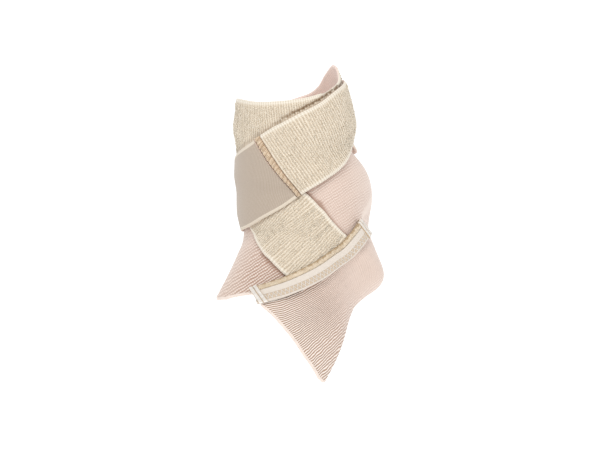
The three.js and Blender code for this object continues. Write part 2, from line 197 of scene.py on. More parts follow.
def form_point(level, angle):
    """Points of the form at levels down the brace and angles round it, 0 in front and 90 outside."""
    level, angle = np.broadcast_arrays(np.asarray(level, float), np.asarray(angle, float))
    row = between_rows(SECTIONS, level)
    bend, roll, outer, inner, front, rear, crease = np.moveaxis(row[..., 3:], -1, 0)
    pitch = np.radians(90 - bend * (90 - FOOT_PITCH))
    facing = np.stack([np.zeros_like(pitch), -np.sin(pitch), np.cos(pitch)], -1)
    turned = np.radians(roll * FOOT_ROLL)[..., None]
    right = np.array([1.0, 0, 0])
    to_side = right * np.cos(turned) - facing * np.sin(turned)
    to_front = facing * np.cos(turned) + right * np.sin(turned)
    sine, cosine = np.sin(np.radians(angle)), np.cos(np.radians(angle))
    half_width = ANKLE_RADIUS * np.where(sine > 0, outer, inner)
    pinch = 1 - crease * (1 - np.abs(cosine))
    half_depth = ANKLE_RADIUS * np.where(cosine > 0, front, rear) * pinch
    swell = ANKLE_RADIUS * bulge_rise(level, angle)
    aside = ((half_width + swell) * sine)[..., None] * to_side
    forward = ((half_depth + swell) * cosine)[..., None] * to_front
    return row[..., :3] + aside + forward


STEP_LEVEL = 0.01
STEP_ANGLE = 0.5


def unit(vectors):
    return vectors / np.linalg.norm(vectors, axis=-1, keepdims=True)


def form_normal(level, angle):
    """Outward normals of the form."""
    down = form_point(level + STEP_LEVEL, angle) - form_point(level - STEP_LEVEL, angle)
    around = form_point(level, angle + STEP_ANGLE) - form_point(level, angle - STEP_ANGLE)
    return unit(np.cross(down, around))


def raised(level, angle, height):
    return form_point(level, angle) + form_normal(level, angle) * np.asarray(height)[..., None]


def smooth_step(low, high, value):
    share = np.clip((value - low) / (high - low), 0, 1)
    return share * share * (3 - 2 * share)


def dot(a, b):
    return (a * b).sum(-1)


# Bands laid on the form along a centre line

def runs_along(points):
    return np.concatenate([[0], np.cumsum(np.linalg.norm(np.diff(points, axis=0), axis=1))])


class Line:
    """A centre line on the form, read by the length run along it."""

    SAMPLES_PER_ROW = 24

    def __init__(self, path):
        place = np.linspace(0, len(path) - 1, (len(path) - 1) * self.SAMPLES_PER_ROW + 1)
        self.rows = between_rows(path, place)
        self.points = form_point(self.rows[:, 1], self.rows[:, 0])
        self.runs = runs_along(self.points)
        self.length = self.runs[-1]
        self.alongs = unit(np.gradient(self.points, self.runs, axis=0))

    def read(self, run, columns):
        return np.stack([np.interp(run, self.runs, column) for column in columns.T], -1)

    def at(self, run):
        """Turn, level, flare, point, along and across at each run."""
        turn, level, flare = self.read(run, self.rows).T
        along = unit(self.read(run, self.alongs))
        across = unit(np.cross(along, form_normal(level, turn)))
        return Station(turn, level, flare, self.read(run, self.points), along, across)

    def run_at_turn(self, turn):
        """The run at which a falling turn is first reached."""
        return np.interp(-turn, -self.rows[:, 0], self.runs)


Station = namedtuple("Station", "turn level flare point along across")
WALK_STEP = 1.6
ROUNDING = 1e-9


def walk_across(station, distances, height):
    """Levels and angles reached by walking over the form to the side of each station."""
    levels, angles = np.zeros((2, *distances.shape))
    away = distances.sum(0)
    for upward in (True, False):
        columns = np.flatnonzero((away > -ROUNDING) == upward)
        level, angle, heading = station.level.copy(), station.turn.copy(), station.across.copy()
        gone = np.zeros(len(level))
        for j in sorted(columns, key=lambda j: abs(away[j])):
            ahead = distances[:, j] - gone
            steps = max(1, math.ceil(np.abs(ahead).max() / WALK_STEP))
            for _ in range(steps):
                level, angle, heading = step_over(level, angle, heading, ahead / steps, height)
            gone = distances[:, j]
            levels[:, j] = level
            angles[:, j] = angle
    return levels, angles


def step_over(level, angle, heading, length, height):
    down = raised(level + STEP_LEVEL, angle, height) - raised(level - STEP_LEVEL, angle, height)
    around = raised(level, angle + STEP_ANGLE, height) - raised(level, angle - STEP_ANGLE, height)
    down, around = down / (2 * STEP_LEVEL), around / (2 * STEP_ANGLE)
    dd, dr, rr = dot(down, down), dot(down, around), dot(around, around)
    dh, rh = dot(down, heading), dot(around, heading)
    area = dd * rr - dr * dr
    level = level + length * (dh * rr - rh * dr) / area
    angle = angle + length * (rh * dd - dh * dr) / area
    normal = form_normal(level, angle)
    return level, angle, unit(heading - normal * dot(heading, normal)[..., None])


STRAP_SPACING = 5.4
END_TRIM = 2.0
LAYER_WINDOW = 100.0

strap_line = Line(STRAP_PATH)
seam_line = Line(SEAM_PATH)
strap_count = round(strap_line.length / STRAP_SPACING)
runs_of_strap = np.linspace(0, strap_line.length, strap_count + 1)
strap_stations = strap_line.at(runs_of_strap)
end_station = math.ceil(strap_line.run_at_turn(STRAP_END_TURN) / runs_of_strap[1])
strap_end = runs_of_strap[end_station] - END_TRIM


def cover_under(points, stations, ease=EDGE_EASE):
    """How much of a layer made of the stations lies under each point: 1 on it, 0 clear of it."""
    if len(stations.turn) == 0:
        return np.zeros(points.shape[:-1])
    gaps = np.linalg.norm(points[..., None, :] - stations.point, axis=-1)
    nearest = gaps.argmin(-1)
    offset = points - stations.point[nearest]
    beyond_end = np.abs(dot(offset, stations.along[nearest])) - STRAP_SPACING
    sideways = dot(offset, stations.across[nearest])
    flare = stations.flare[nearest] * STRAP_WIDTH
    beyond_side = np.maximum(sideways - HALF_STRAP - flare, -sideways - HALF_STRAP)
    return 1 - smooth_step(EDGE_MARGIN, EDGE_MARGIN + ease, np.maximum(beyond_end, beyond_side))


def some(chosen):
    return Station(*(column[chosen] for column in strap_stations))


NEAR_STATIONS = 1.7
NEAR_PLANE = 18.0
FAR_GAP = 99.0
POINTS_AT_ONCE = 2000


def in_parts(points):
    return np.array_split(points, len(points) // POINTS_AT_ONCE + 1)


def strap_edge_gap(points, chosen):
    """How far each point lies outside the nearest part of the strap, below zero inside it."""
    near = some(chosen)
    high = HALF_STRAP + near.flare * STRAP_WIDTH
    gaps = []
    for part in in_parts(points):
        offset = part[:, None] - near.point
        ahead, sideways = dot(offset, near.along), dot(offset, near.across)
        off_plane = dot(offset, offset) - ahead**2 - sideways**2
        side = np.maximum(sideways - high, -sideways - HALF_STRAP)
        far = (np.abs(ahead) > NEAR_STATIONS * STRAP_SPACING) | (off_plane > NEAR_PLANE**2)
        gaps.append(np.where(far, FAR_GAP, side).min(-1, initial=FAR_GAP))
    return np.concatenate(gaps)


def edge_shade(gap, reach):
    """Strength of the painted shade: 1 under an edge that lies over the fabric, and nearly 0 at the reach
    outside it.
    """
    return np.exp(-((np.clip(gap, 0, None) / (reach / 2)) ** 2))


def strap_height(level, angle, turn):
    """Height over the form of a layer of the strap, above the sleeve and the turns below it."""
    points = form_point(level, angle)
    height = np.full(points.shape[:-1], SLEEVE_WALL + LAYER_GAP)
    for i, own in enumerate(turn):
        for lap in (1, 2):
            near = some(np.abs(strap_stations.turn - own - lap * FULL_TURN) < LAYER_WINDOW)
            height[i] += (STRAP_WALL + LAYER_GAP) * cover_under(points[i], near)
    return height


def seam_height(level, angle, turn=None, ease=SEAM_EASE):
    """Height over the form of the seam's tape, above the sleeve and the strap's start, at any turn."""
    start = some(runs_of_strap < STRAP_WIDTH)
    cover = cover_under(form_point(level, angle), start, ease)
    return SLEEVE_WALL + LAYER_GAP + (STRAP_WALL + LAYER_GAP) * cover


def seam_drop(strip):
    """How far the seam's pieces reach down below their even height to the fabric under them."""
    return strip.height - seam_height(strip.level, strip.angle, ease=EDGE_EASE)


Strip = namedtuple("Strip", "along aside level angle height normal point")


def lay_strip(line, from_run, to_run, row_spacing, low, high, column_spacing, height_at):
    """A grid of places on the form, between two runs of a line and two distances to its side."""
    rows = max(2, round((to_run - from_run) / row_spacing) + 1)
    columns = max(2, round((high - low) / column_spacing) + 1)
    run = np.linspace(from_run, to_run, rows)
    station = line.at(run)
    share = np.linspace(0, 1, columns)
    top = high + station.flare * STRAP_WIDTH
    aside = low + (top - low)[:, None] * share
    middle = height_at(station.level[:, None], station.turn[:, None], station.turn)[:, 0]
    level, angle = walk_across(station, aside, middle)
    height = height_at(level, angle, station.turn)
    along = run[:, None] + 0 * aside
    aside = low + (high - low) * share + 0 * aside
    return Strip(along, aside, level, angle, height, form_normal(level, angle), form_point(level, angle))


def on_strip(strip, rise):
    """Points above the strip's underside."""
    return strip.point + strip.normal * (strip.height + rise)[..., None]


# Mesh making

def new_object(name, vertices, faces, fields, materials, face_material=None):
    mesh = bpy.data.meshes.new(name)
    mesh.from_pydata((np.asarray(vertices) * MM).tolist(), [], faces)
    mesh.validate()
    for field, values in fields.items():
        attribute = mesh.attributes.new(field, "FLOAT", "POINT")
        attribute.data.foreach_set("value", np.ravel(values).astype(np.float32))
    for material in materials:
        mesh.materials.append(material)
    if face_material is not None:
        mesh.polygons.foreach_set("material_index", np.asarray(face_material, np.int32))
    mesh.shade_smooth()
    made = bpy.data.objects.new(name, mesh)
    scene.collection.objects.link(made)
    return made


def grid_faces(number):
    """Quads between the rows and columns of a grid of vertex numbers."""
    corners = [number[:-1, :-1], number[1:, :-1], number[1:, 1:], number[:-1, 1:]]
    return np.stack(corners, -1).reshape(-1, 4)


def shell(name, outer, inner, fields, materials, closed=False):
    """A closed body from an outer and an inner grid. Rows whose closed flag is set join their two ends.
    The outer faces take the first material and all others the last."""
    rows, columns = outer.shape[:2]
    closed = np.broadcast_to(closed, rows)
    number = np.arange(rows * columns).reshape(rows, columns)
    number[closed, -1] = number[closed, 0]
    under = number + rows * columns
    top, bottom = grid_faces(number), grid_faces(under)[:, [0, 3, 2, 1]]
    opened = ~(closed[:-1] & closed[1:])
    sides = ((number[:, 0], under[:, 0], opened), (number[::-1, -1], under[::-1, -1], opened[::-1]))
    rims = [np.stack([a[:-1], b[:-1], b[1:], a[1:]], -1)[kept] for a, b, kept in sides]
    first = np.stack([number[0, :-1], number[0, 1:], under[0, 1:], under[0, :-1]], -1)
    last = np.stack([number[-1, :-1], under[-1, :-1], under[-1, 1:], number[-1, 1:]], -1)
    used, faces = np.unique(np.concatenate([top, bottom, *rims, first, last]), return_inverse=True)
    faces = faces.reshape(-1, 4)
    vertices = np.concatenate([outer.reshape(-1, 3), inner.reshape(-1, 3)])[used]
    values = {key: np.tile(np.ravel(value), 2)[used] for key, value in fields.items()}
    face_material = np.full(len(faces), len(materials) - 1)
    face_material[:len(top)] = 0
    return new_object(name, vertices, faces.tolist(), values, materials, face_material)


def edge_rounding(strip, radius):
    """From 0 at the strip's two long edges to 1 at a radius inside them."""
    inside = np.minimum(strip.aside - strip.aside.min(), strip.aside.max() - strip.aside)
    share = np.clip(inside / radius, 0, 1)
    return np.sqrt(1 - (1 - share) ** 2)


def ring_tube(points, radius, sides):
    """Vertices and faces of a round tube along a closed ring of points."""
    along = unit(np.roll(points, -1, 0) - np.roll(points, 1, 0))
    up = np.zeros_like(points)
    guide = np.array([0.13, 0.31, 0.94])
    for i, direction in enumerate(along):
        guide = unit(guide - direction * (guide @ direction))
        up[i] = guide
    side = np.cross(along, up)
    around = np.linspace(0, 2 * np.pi, sides, endpoint=False)[:, None]
    ring = np.cos(around) * up[:, None] + np.sin(around) * side[:, None]
    vertices = (points[:, None] + radius * ring).reshape(-1, 3)
    number = np.arange(len(vertices)).reshape(-1, sides)
    beside = np.roll(number, -1, 1)
    faces = np.stack([number, np.roll(number, -1, 0), np.roll(beside, -1, 0), beside], -1)
    return vertices, faces.reshape(-1, 4).tolist()


# Materials

# Colours from 0 to 255 in sRGB, a darker one and a lighter one where there are two
UPPER_RIBS = (168, 134, 116), (242, 227, 216)
LOWER_RIBS = (162, 126, 101), (252, 241, 231)
FLAT_KNIT = (218, 200, 187), (229, 213, 202)
ROLLED_KNIT = (238, 225, 215)
INNER_KNIT = (230, 208, 197), (248, 233, 225)
PILE_GROUND = (190, 172, 148), (230, 219, 201)
PILE_LOOPS = (196, 182, 159), (240, 231, 215)
SELVEDGE_THREAD = (204, 193, 174), (238, 230, 217)
TAB_KNIT = (164, 148, 132), (198, 186, 172)
TAB_BINDING = (210, 198, 181)
TAPE_CLOTH = (207, 196, 184), (234, 226, 216)
NEEDLE_HOLES = (190, 165, 134)
TAN_THREAD = (180, 150, 116), (240, 219, 192)
TAN_GROOVE = (166, 134, 100)
RAW_EDGE = (200, 176, 144), (236, 220, 196)
RAW_EDGE_GROOVE = (168, 138, 98)
WHITE_THREAD = (214, 204, 192), (248, 244, 238)
WHITE_GROOVE = (203, 178, 146)

# Colour of the painted shade under an edge that lies over the fabric, and its share where it is deepest
KNIT_PAINTED_SHADE = (150, 112, 90), 0.6
STRAP_PAINTED_SHADE = (108, 80, 48), 0.95


def linear(rgb):
    """A colour given as 0 to 255 in sRGB, as the shader takes it."""
    share = np.array(rgb, float) / 255
    value = np.where(share <= 0.04045, share / 12.92, ((share + 0.055) / 1.055) ** 2.4)
    return (*value.tolist(), 1.0)


class Fabric:
    """A material's node tree, with short calls for the nodes that the fabrics share."""

    def __init__(self, name, roughness, sheen):
        self.material = bpy.data.materials.new(name)
        self.material.use_nodes = True
        self.tree = self.material.node_tree
        self.surface = self.tree.nodes["Principled BSDF"]
        looks = {"Sheen Weight": sheen, "Sheen Roughness": 0.5, "Specular IOR Level": 0.2}
        for key, value in {"Roughness": roughness, **looks}.items():
            self.put(self.surface.inputs[key], value)

    def put(self, socket, value):
        if isinstance(value, bpy.types.NodeSocket):
            self.tree.links.new(value, socket)
        else:
            socket.default_value = value

    def node(self, kind, inputs, **settings):
        """A new node, with values or links for its inputs."""
        made = self.tree.nodes.new("ShaderNode" + kind)
        for key, value in settings.items():
            setattr(made, key, value)
        for key, value in inputs.items():
            self.put(made.inputs[key], value)
        return made.outputs

    def math(self, operation, *values, clamp=False):
        return self.node("Math", dict(enumerate(values)), operation=operation, use_clamp=clamp)[0]

    def times(self, value, factor):
        return self.math("MULTIPLY", value, factor)

    def scaled(self, value, factor, offset, clamp=False):
        """The value times the factor, plus the offset."""
        return self.math("MULTIPLY_ADD", value, factor, offset, clamp=clamp)

    def apart(self, a, b):
        return self.math("ABSOLUTE", self.math("SUBTRACT", a, b))

    def field(self, name):
        return self.node("Attribute", {}, attribute_name=name)["Fac"]

    def noise(self, size, detail):
        """Noise over the object's own space, with features of about the size in millimetres."""
        place = self.node("TexCoord", {})["Object"]
        inputs = {"Vector": place, "Scale": 1 / (size * MM), "Detail": detail}
        return self.node("TexNoise", inputs)["Fac"]

    def wavered(self, value, size, detail, reach, clamp=False):
        """The value moved up and down by noise, over a range as wide as the reach."""
        return self.scaled(self.math("SUBTRACT", self.noise(size, detail), 0.5), reach, value, clamp)

    def smooth(self, value, low, high):
        inputs = {"Value": value, "From Min": low, "From Max": high}
        return self.node("MapRange", inputs, interpolation_type="SMOOTHSTEP")["Result"]

    def blend(self, share, low, high):
        """A number between two numbers."""
        return self.node("Mix", {0: share, 2: low, 3: high}, data_type="FLOAT")[0]

    def colour(self, share, low, high):
        """A colour between two colours, given as sRGB or as sockets."""
        low, high = (tone if isinstance(tone, bpy.types.NodeSocket) else linear(tone) for tone in (low, high))
        return self.node("Mix", {0: share, 6: low, 7: high}, data_type="RGBA")[2]

    def wave(self, place, pitch):
        """A cosine of the pitch, from 0 to 1."""
        turns = self.times(place, 2 * math.pi / pitch)
        return self.scaled(self.math("COSINE", turns), 0.5, 0.5)

    def shaded(self, colour, crease, share):
        """The colour turned into a share of the painted shade's colour, given as crease, as far as the shade
        field says.
        """
        return self.colour(self.times(self.field("shade"), share), colour, crease)

    def done(self, colour, height, depth):
        """Sets the colour, and a bump of the depth in millimetres."""
        self.put(self.surface.inputs["Base Color"], colour)
        bump = self.node("Bump", {"Strength": 1.0, "Distance": depth * MM, "Height": height})
        self.put(self.surface.inputs["Normal"], bump["Normal"])
        return self.material


def knit_material():
    """The sleeve's rib knit. The rib field counts millimetres across the ribs, and depth is their depth."""
    f = Fabric("rib_knit", roughness=0.88, sheen=0.3)
    grain, depth, warm = (f.field(name) for name in ("grain", "depth", "warm"))
    across = f.wavered(f.field("rib"), size=6.0, detail=1.0, reach=1.6)
    fine = f.times(f.wave(grain, FINE_KNIT), f.wave(across, FINE_KNIT))
    crossed = f.times(f.blend(warm, 0.62, 0.05), f.math("SUBTRACT", 1.0, f.wave(grain, CROSS_RIB)))
    ribs = f.times(f.wave(across, SLEEVE_RIB), f.math("SUBTRACT", 1.0, crossed))
    pattern = f.blend(depth, f.scaled(fine, 0.6, 0.3), ribs)
    pattern = f.wavered(pattern, size=0.5, detail=3.0, reach=0.2, clamp=True)
    dark, light = (f.colour(warm, *pair) for pair in zip(UPPER_RIBS, LOWER_RIBS))
    strength = f.math("MULTIPLY", f.smooth(depth, 0.0, 0.3), f.scaled(depth, 0.7, 0.3), clamp=True)
    soft = f.colour(f.noise(22.0, 1.0), *FLAT_KNIT)
    colour = f.shaded(f.colour(strength, soft, f.colour(pattern, dark, light)), *KNIT_PAINTED_SHADE)
    colour = f.colour(f.field("rolled"), colour, ROLLED_KNIT)
    return f.done(colour, f.times(pattern, strength), depth=0.45)


def lining_material():
    """The inner faces of the sleeve and the strap: flat fine knit."""
    f = Fabric("fine_knit", roughness=0.9, sheen=0.25)
    fine = f.times(f.wave(f.field("rib"), FINE_KNIT), f.wave(f.field("grain"), FINE_KNIT))
    pattern = f.wavered(fine, size=0.6, detail=3.0, reach=0.4, clamp=True)
    return f.done(f.colour(pattern, *INNER_KNIT), pattern, depth=0.12)


def strap_material():
    """The strap's outer face: loop-pile ribs across the band between two white selvedges."""
    f = Fabric("loop_pile", roughness=0.95, sheen=0.35)
    along, aside = f.field("along"), f.field("aside")
    ribs = f.wave(f.wavered(along, size=4.0, detail=2.0, reach=1.0), STRAP_RIB)
    pattern = f.smooth(f.scaled(f.noise(0.9, 2.0), 0.7, f.times(ribs, 0.4)), 0.2, 0.95)
    ragged = f.wavered(f.math("ABSOLUTE", aside), size=1.6, detail=1.0, reach=1.4)
    selvedge = f.smooth(ragged, HALF_STRAP - SELVEDGE - 0.4, HALF_STRAP - SELVEDGE + 0.8)
    thread = f.scaled(f.wave(along, STRAP_RIB), 0.55, f.times(f.wave(aside, 1.1), 0.35))
    colour = f.colour(selvedge, f.colour(pattern, *PILE_GROUND), f.colour(thread, *SELVEDGE_THREAD))
    height = f.blend(selvedge, pattern, f.scaled(thread, 0.4, 0.2))
    return f.done(f.shaded(colour, *STRAP_PAINTED_SHADE), height, depth=0.3)


def pile_material():
    """The loops of the pile, with painted light on their tops and outer sides and painted shade at their
    roots, and uneven from loop to loop.
    """
    f = Fabric("pile_loops", roughness=0.95, sheen=0.4)
    tone = f.scaled(f.field("tip"), 0.75, f.times(f.field("tone"), 0.35), clamp=True)
    tone = f.wavered(tone, size=14.0, detail=2.0, reach=0.5, clamp=True)
    colour = f.shaded(f.colour(tone, *PILE_LOOPS), *STRAP_PAINTED_SHADE)
    return f.done(colour, f.noise(0.3, 2.0), depth=0.04)


def tab_material():
    """The smooth back of the hook tab, with fine slanted knit lines and a light binding."""
    f = Fabric("tab_knit", roughness=0.8, sheen=0.3)
    along, aside = f.field("along"), f.field("aside")
    rising, falling = f.math("ADD", along, aside), f.math("SUBTRACT", along, aside)
    lines = f.times(f.wave(rising, 1.5), f.wave(falling, 1.1))
    pattern = f.scaled(f.noise(0.6, 2.0), 0.3, f.times(lines, 0.5))
    binding = f.smooth(f.math("ABSOLUTE", aside), HALF_STRAP - 2.3, HALF_STRAP - 1.9)
    colour = f.colour(f.smooth(pattern, 0.0, 0.8), *TAB_KNIT)
    return f.done(f.colour(binding, colour, TAB_BINDING), f.scaled(binding, 0.4, pattern), depth=0.12)


def thread_material(name, tones, groove, pitch):
    """Overcast thread: fine strands across the run, in uneven bundles."""
    f = Fabric(name, roughness=0.75, sheen=0.3)
    strands = f.wave(f.wavered(f.field("along"), size=2.0, detail=2.0, reach=0.9), pitch)
    tone = f.scaled(strands, 0.5, f.times(f.noise(2.6, 1.0), 0.7), clamp=True)
    colour = f.colour(f.smooth(tone, 0.15, 0.95), *tones)
    return f.done(f.colour(f.field("between"), colour, groove), strands, depth=0.25)


ZIGZAG_PITCH = 2.75
ZIGZAG_REACH = 3.2
ZIGZAG_CENTRE = -1.5


def tape_material():
    """White seam tape: a fine plain weave, with a white zigzag over needle holes in its lower half."""
    f = Fabric("tape_weave", roughness=0.8, sheen=0.25)
    along, aside = f.field("along"), f.field("aside")
    weave = f.times(f.wave(along, TAPE_WEAVE), f.wave(aside, TAPE_WEAVE))
    pattern = f.scaled(f.noise(0.7, 2.0), 0.4, f.times(weave, 0.3))
    place = f.math("FRACT", f.math("DIVIDE", along, ZIGZAG_PITCH))
    rise = f.times(f.apart(place, 0.5), 2 * ZIGZAG_REACH)
    centre = f.math("ADD", rise, ZIGZAG_CENTRE - ZIGZAG_REACH / 2)
    off_thread = f.smooth(f.apart(aside, centre), 0.55, 0.95)
    in_band = f.smooth(f.apart(aside, ZIGZAG_CENTRE), 2.15, 1.75)
    gaps = f.times(off_thread, in_band)
    colour = f.colour(f.times(gaps, 0.65), f.colour(pattern, *TAPE_CLOTH), NEEDLE_HOLES)
    return f.done(colour, f.scaled(gaps, -0.9, pattern), depth=0.35)


knit = knit_material()
lining = lining_material()
pile = strap_material()
loops = pile_material()
tab_face = tab_material()
tan_thread = thread_material("tan_thread", TAN_THREAD, TAN_GROOVE, BEAD_THREAD)
edge_thread = thread_material("tan_edge", RAW_EDGE, RAW_EDGE_GROOVE, SEAM_THREAD)
white_thread = thread_material("white_thread", WHITE_THREAD, WHITE_GROOVE, SEAM_THREAD)
tape_cloth = tape_material()


def ride_along(piece):
    """Fixes a finished piece to the brace."""
    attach(piece, "root")
    return piece


def keep(piece, node):
    """Fixes a finished piece to the brace in place of the solid that it renders."""
    ride_along(piece)
    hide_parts(node)
    return piece


# The sleeve

SLEEVE_ROWS = 150
SLEEVE_COLUMNS = 260
HEEL_MIDDLE = (HEEL_TOP_LEVEL + HEEL_BOTTOM_LEVEL) / 2
HEEL_HALF = (HEEL_BOTTOM_LEVEL - HEEL_TOP_LEVEL) / 2


def hem_level(angle):
    angle = (np.asarray(angle) + 90) % FULL_TURN - 90
    return np.interp(angle, *zip(*HEM))


def level_down(angle, share):
    """The level at a share of the way down from the sleeve's top edge to its front hem."""
    return SLEEVE_TOP_LEVEL + (hem_level(angle) - SLEEVE_TOP_LEVEL) * share


def heel_half_spread(level):
    share = np.clip((level - HEEL_MIDDLE) / HEEL_HALF, -1, 1)
    return HEEL_HALF_SPREAD * np.sqrt(1 - share * share)


# The seam's line carried on round the heel and past the front hem: the ribs below it run alongside
RIB_PATH = [
    (200, 2.3, 0), (160, 2.6, 0), (120, 2.95, 0), (95, 3.22, 0), *SEAM_PATH, (-40, 6.5, 0), (-70, 6.8, 0),
]
RIB_STATIONS = 260
LINE_SMOOTHING = 7.0

# Slopes in the photograph's view: of the upper panel's ribs, and of the lower one's where they fan out
UPPER_RIB_SLOPE = 33.0
FAN_SLOPE = 42.0
FAN_START = 4.0
FAN_REACH = 40.0
UPPER_RIB_SCALE = 1.25
LOWER_RIB_SCALE = 1.1

# The panels' patterns meet sharply where the photograph shows them, and blend beyond that
SHARP_MEETING = 0.01
SEAM_BLEND = 7.0
SEEN_ANGLE = 28.0
SEEN_HALF = 45.0
SEEN_FADE = 40.0

FACING_ANGLE = 25.0
LEVEL_LENGTH = 36.0
KNIT_SHADE_REACH = 2.4

Fade = namedtuple("Fade", "start length least")
LOWER_DEPTH = Fade(1.6, 60.0, 0.35)
UPPER_DEPTH = Fade(1.25, 90.0, 0.5)
WARMTH = Fade(1.15, 60.0, 0.0)


def towards(azimuth, elevation):
    """The direction from the brace towards a place round it."""
    a, e = math.radians(azimuth), math.radians(elevation)
    return np.array([math.sin(a) * math.cos(e), -math.cos(a) * math.cos(e), math.sin(e)])


def view_axes():
    """Right, up and back of the photograph's view."""
    back = towards(VIEW_AZIMUTH, VIEW_ELEVATION)
    right = unit(np.cross([0, 0, 1], back))
    return right, np.cross(back, right), back


def in_view(points, slope):
    """Lengths along and across a line at a slope in the photograph's view."""
    right, up = view_axes()[:2]
    slope = math.radians(slope)
    along = right * math.cos(slope) + up * math.sin(slope)
    across = up * math.cos(slope) - right * math.sin(slope)
    return points @ along, points @ across


def from_line(points, stations, run):
    """Smooth signed distances to the side of a line, and smooth runs along it."""
    offset = points[:, None] - stations.point
    gaps = np.linalg.norm(offset, axis=-1)
    weight = np.exp(-(gaps**2 - gaps.min(-1, keepdims=True) ** 2) / (2 * LINE_SMOOTHING**2))
    weight /= weight.sum(-1, keepdims=True)
    above = (weight * dot(offset, stations.across)).sum(-1)
    ahead = dot(offset, stations.along)
    distance = np.sqrt(np.maximum((weight * (gaps**2 - ahead**2)).sum(-1), 0))
    return np.tanh(above / 2) * distance, (weight * (run + ahead)).sum(-1)


def faded(fade, distance):
    """A share that falls with the distance, from the fade's start down to its least value."""
    return np.clip(fade.start - distance / fade.length, fade.least, 1)


def sleeve_fields(points, level, angle):
    """Fields of the knit: lengths across and along the ribs, their depth, the colour's warmth and painted
    shade.
    """
    line = Line(RIB_PATH)
    run = np.linspace(0, line.length, RIB_STATIONS)
    stations = line.at(run)
    points, angle, level = points.reshape(-1, 3), angle.ravel(), level.ravel()
    found = zip(*(from_line(part, stations, run) for part in in_parts(points)))
    apart, beside = (np.concatenate(values) for values in found)
    upper_grain, upper = in_view(points, UPPER_RIB_SLOPE)
    fan = in_view(points, FAN_SLOPE)[1] - in_view(seam_line.points[-1], FAN_SLOPE)[1]
    lower = apart + (fan - apart) * smooth_step(FAN_START, FAN_REACH, -apart)
    beyond = np.clip(np.abs(angle - SEEN_ANGLE) - SEEN_HALF, 0, SEEN_FADE) / SEEN_FADE
    meeting = SHARP_MEETING + SEAM_BLEND * beyond
    blend = smooth_step(-meeting, meeting, apart)
    rib = np.where(blend < 0.5, lower / LOWER_RIB_SCALE, upper / UPPER_RIB_SCALE)
    grain = np.where(blend < 0.5, beside, upper_grain)
    to_hem = (hem_level(angle) - level) * LEVEL_LENGTH
    facing = np.cos(np.radians(angle - FACING_ANGLE))
    depth = faded(LOWER_DEPTH, to_hem) * (1 - blend) + faded(UPPER_DEPTH, to_hem) * blend
    depth *= np.clip(0.6 + 0.8 * facing, 0.3, 1) * (1 - 4 * blend * (1 - blend))
    warm = (1 - 0.75 * blend) * faded(WARMTH, to_hem)
    gap = strap_edge_gap(points, runs_of_strap < strap_end + TAB_LENGTH)
    # Painted shade on the front of the knit next to the strap's edges
    shade = blend * smooth_step(-0.1, 0.4, facing) * edge_shade(gap, KNIT_SHADE_REACH)
    return {"rib": rib, "grain": grain, "depth": depth, "warm": warm, "shade": shade}


def make_sleeve():
    down = np.linspace(0, 1, SLEEVE_ROWS + 1)[:, None]
    spread = heel_half_spread(level_down(180, down[:, 0]))
    share = np.linspace(-1, 1, SLEEVE_COLUMNS + 1)
    angle = share * (FULL_TURN / 2 - spread)[:, None]
    level = level_down(angle, down)
    outer = raised(level, angle, SLEEVE_WALL)
    fields = sleeve_fields(outer, level, angle)
    return shell("sleeve", outer, form_point(level, angle), fields, [knit, lining], closed=spread <= 0)


HEM_RADIUS = 1.05
HEM_SIDES = 10


def hem_tube(name, level, angle):
    """A rolled hem round an edge of the sleeve."""
    centre = raised(level, angle, SLEEVE_WALL / 2)
    vertices, faces = ring_tube(centre, HEM_RADIUS, HEM_SIDES)
    along = np.repeat(runs_along(centre), HEM_SIDES)
    none = 0 * along
    fields = {"rib": along, "grain": along, "depth": 0.5 + none, "warm": 0.3 + none, "rolled": 0.7 + none}
    return ride_along(new_object(name, vertices, faces, fields, [knit]))


def heel_edge(turn):
    """Levels and angles round the heel opening."""
    angle = 180 - HEEL_HALF_SPREAD * np.sin(turn)
    level = HEEL_MIDDLE - HEEL_HALF * np.cos(turn)
    return level_down(angle, (level - SLEEVE_TOP_LEVEL) / (hem_level(180) - SLEEVE_TOP_LEVEL)), angle


front_angle = np.linspace(-180, 180, 240, endpoint=False)
top_angle = np.linspace(0, 360, 180, endpoint=False)
heel_turn = np.linspace(0, 2 * np.pi, 160, endpoint=False)
sleeve = keep(make_sleeve(), "foot_sleeve")
front_hem = hem_tube("sleeve_front_hem", hem_level(front_angle), front_angle)
top_hem = hem_tube("sleeve_top_hem", SLEEVE_TOP_LEVEL + 0 * top_angle, top_angle)
heel_hem = hem_tube("sleeve_heel_hem", *heel_edge(heel_turn))


# The strap and what ends it

STRAP_START = 3.5
STRAP_ROW = 0.8
STRAP_COLUMN = 1.0


def from_grid(values, row, column):
    """Values of a grid read between its rows and columns."""
    i = np.clip(np.floor(row).astype(int), 0, values.shape[0] - 2)
    j = np.clip(np.floor(column).astype(int), 0, values.shape[1] - 2)
    s, t = row - i, column - j
    if values.ndim == 3:
        s, t = s[..., None], t[..., None]
    near = values[i, j] * (1 - t) + values[i, j + 1] * t
    far = values[i + 1, j] * (1 - t) + values[i + 1, j + 1] * t
    return near * (1 - s) + far * s


def read_strip(strip, row, column):
    return Strip(*(from_grid(values, row, column) for values in strip))


def lay_strap(from_run, to_run, row_spacing, column_spacing):
    sides = (-HALF_STRAP, HALF_STRAP)
    return lay_strip(strap_line, from_run, to_run, row_spacing, *sides, column_spacing, strap_height)


# Where the strap's lower edge is pulled in behind the ankle, layer on layer, and by how much
PRESSES = ((-232.0, 0.5), (-592.0, 1.0))
PRESS_REACH = 45.0
PRESS_WIDTH = 12.0


def pressed_down(strip):
    """How far the strap is pulled in towards the leg."""
    turn = strap_line.at(strip.along[:, 0]).turn[:, None]
    pull = sum(depth * smooth_step(1, 0.5, np.abs(turn - middle) / PRESS_REACH) for middle, depth in PRESSES)
    return smooth_step(HALF_STRAP - PRESS_WIDTH, HALF_STRAP, -strip.aside) * pull


TURN_STEP = 4.0


